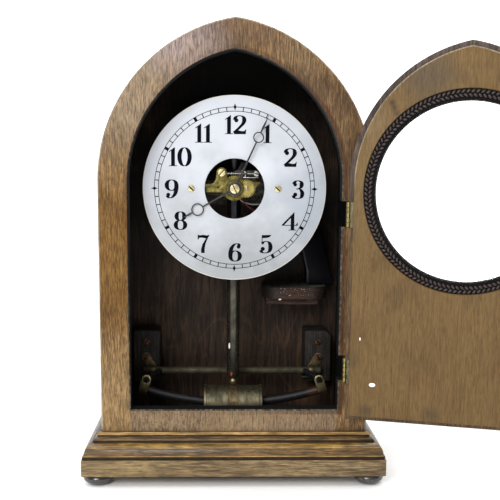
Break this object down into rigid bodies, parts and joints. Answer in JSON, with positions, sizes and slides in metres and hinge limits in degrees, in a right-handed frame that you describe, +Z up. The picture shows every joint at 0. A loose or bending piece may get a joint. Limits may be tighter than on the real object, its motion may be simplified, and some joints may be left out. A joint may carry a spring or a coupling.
{
  "type": "electric mantel clock",
  "caption": "Lancet-arched wooden mantel clock with a glazed door, an open-centre silvered dial and a bobbin pendulum that swings along a curved bar magnet.",
  "frame": {"origin": "centre of the base's flat underside, above the feet", "axes": "+X to the viewer's right, +Y from the dial to the back, +Z up"},
  "size_m": [0.4021, 0.2303, 0.39],
  "materials": {
    "oak": "oiled oak with open grain",
    "door_wood": "worn matt oak",
    "dark_wood": "dark stained, matt",
    "stained_foot": "black stained, polished",
    "dark_bead": "dark twisted bead",
    "brass": "aged satin",
    "dull_brass": "tarnished",
    "copper": "coppered, worn",
    "dark_steel": "blued",
    "bright_steel": "polished",
    "black_enamel": "worn black enamel",
    "silvered": "silvered, matt",
    "glass": "clear",
    "battery_black": "near-black",
    "pale_lead": "pale covering",
    "red_lead": "red covering"
  },
  "bodies": {
    "case": {"plinth_rim": "oak", "floor_panel": "dark_wood", "foot_front_left": "stained_foot", "foot_front_right": "stained_foot", "foot_rear_left": "stained_foot", "foot_rear_right": "stained_foot", "base_moulding_front": "oak", "base_moulding_right": "oak", "base_moulding_left": "oak", "case_front_frame": "oak", "case_right_side": "oak", "case_left_side": "oak", "back_board": "dark_wood", "hinge_frame_leaf_upper": "brass", "hinge_frame_leaf_lower": "brass", "movement_bracket": "dull_brass", "dial_plate": "silvered", "dial_screw_left": "brass", "dial_screw_right": "brass", "suspension_cock": "dull_brass", "movement_front_plate": "brass", "lug_screw": "brass", "movement_back_plate": "brass", "ear_screw": "bright_steel", "contact_spring": "bright_steel", "curved_magnet": "black_enamel", "magnet_block_right": "dark_wood", "block_screw_right": "copper", "crossbar_clip_right": "dull_brass", "crossbar_clip_screw_right": "dull_brass", "magnet_clip_right": "brass", "magnet_clip_screw_right": "dull_brass", "magnet_block_left": "dark_wood", "block_screw_left": "copper", "crossbar_clip_left": "dull_brass", "crossbar_clip_screw_left": "dull_brass", "magnet_clip_left": "brass", "magnet_clip_screw_left": "dull_brass", "magnet_crossbar": "dull_brass", "battery_shelf": "dark_wood", "battery": "battery_black", "lead_pale": "pale_lead", "lead_red": "red_lead"},
    "door": {"door_panel": "door_wood", "door_glass": "glass", "glass_bead": "dark_bead", "hinge_door_leaf_upper": "brass", "hinge_door_leaf_lower": "brass"},
    "pendulum": {"pendulum_rod": "dark_steel", "rating_nut": "brass", "pendulum_bobbin": "dull_brass"},
    "lever": {"drive_lever": "dark_steel"},
    "minute_train": {"centre_arbor": "brass", "hand_screw": "brass", "minute_hand": "dark_steel"},
    "minute_wheel": {"minute_wheel": "brass"},
    "hour_train": {"hour_wheel": "brass", "hour_hand": "dark_steel"},
    "worm": {"worm_arbor": "bright_steel"}
  },
  "joints": [
    {"name": "door_swing", "type": "hinge", "parent": "case", "child": "door", "pos_m": [0.0934, -0.0785, 0.1569], "axis": [0, 0, 1], "range_deg": [-164, 16]},
    {"name": "pendulum_swing", "type": "hinge", "parent": "case", "child": "pendulum", "pos_m": [0, 0.0025, 0.311], "axis": [0, 1, 0], "range_deg": [-6, 6]},
    {"name": "lever_rock", "type": "hinge", "parent": "case", "child": "lever", "pos_m": [0, -0.00825, 0.246], "axis": [0, 1, 0], "range_deg": [-14.3, 14.3]},
    {"name": "minute_turn", "type": "hinge", "parent": "case", "child": "minute_train", "pos_m": [0, -0.0255, 0.242], "axis": [0, 1, 0], "continuous": true},
    {"name": "minute_wheel_turn", "type": "hinge", "parent": "case", "child": "minute_wheel", "pos_m": [0.0105, -0.026, 0.242], "axis": [0, 1, 0], "continuous": true},
    {"name": "hour_turn", "type": "hinge", "parent": "case", "child": "hour_train", "pos_m": [0, -0.0325, 0.242], "axis": [0, 1, 0], "continuous": true},
    {"name": "worm_turn", "type": "hinge", "parent": "case", "child": "worm", "pos_m": [0, -0.0183, 0.2549], "axis": [1, 0, 0], "continuous": true}
  ],
  "couplings": [
    {"joint": "lever_rock", "follows": "pendulum_swing", "ratio": 2.3684},
    {"joint": "minute_wheel_turn", "follows": "minute_turn", "ratio": -0.33333},
    {"joint": "hour_turn", "follows": "minute_turn", "ratio": 0.083333},
    {"joint": "worm_turn", "follows": "minute_turn", "ratio": -40}
  ]
}
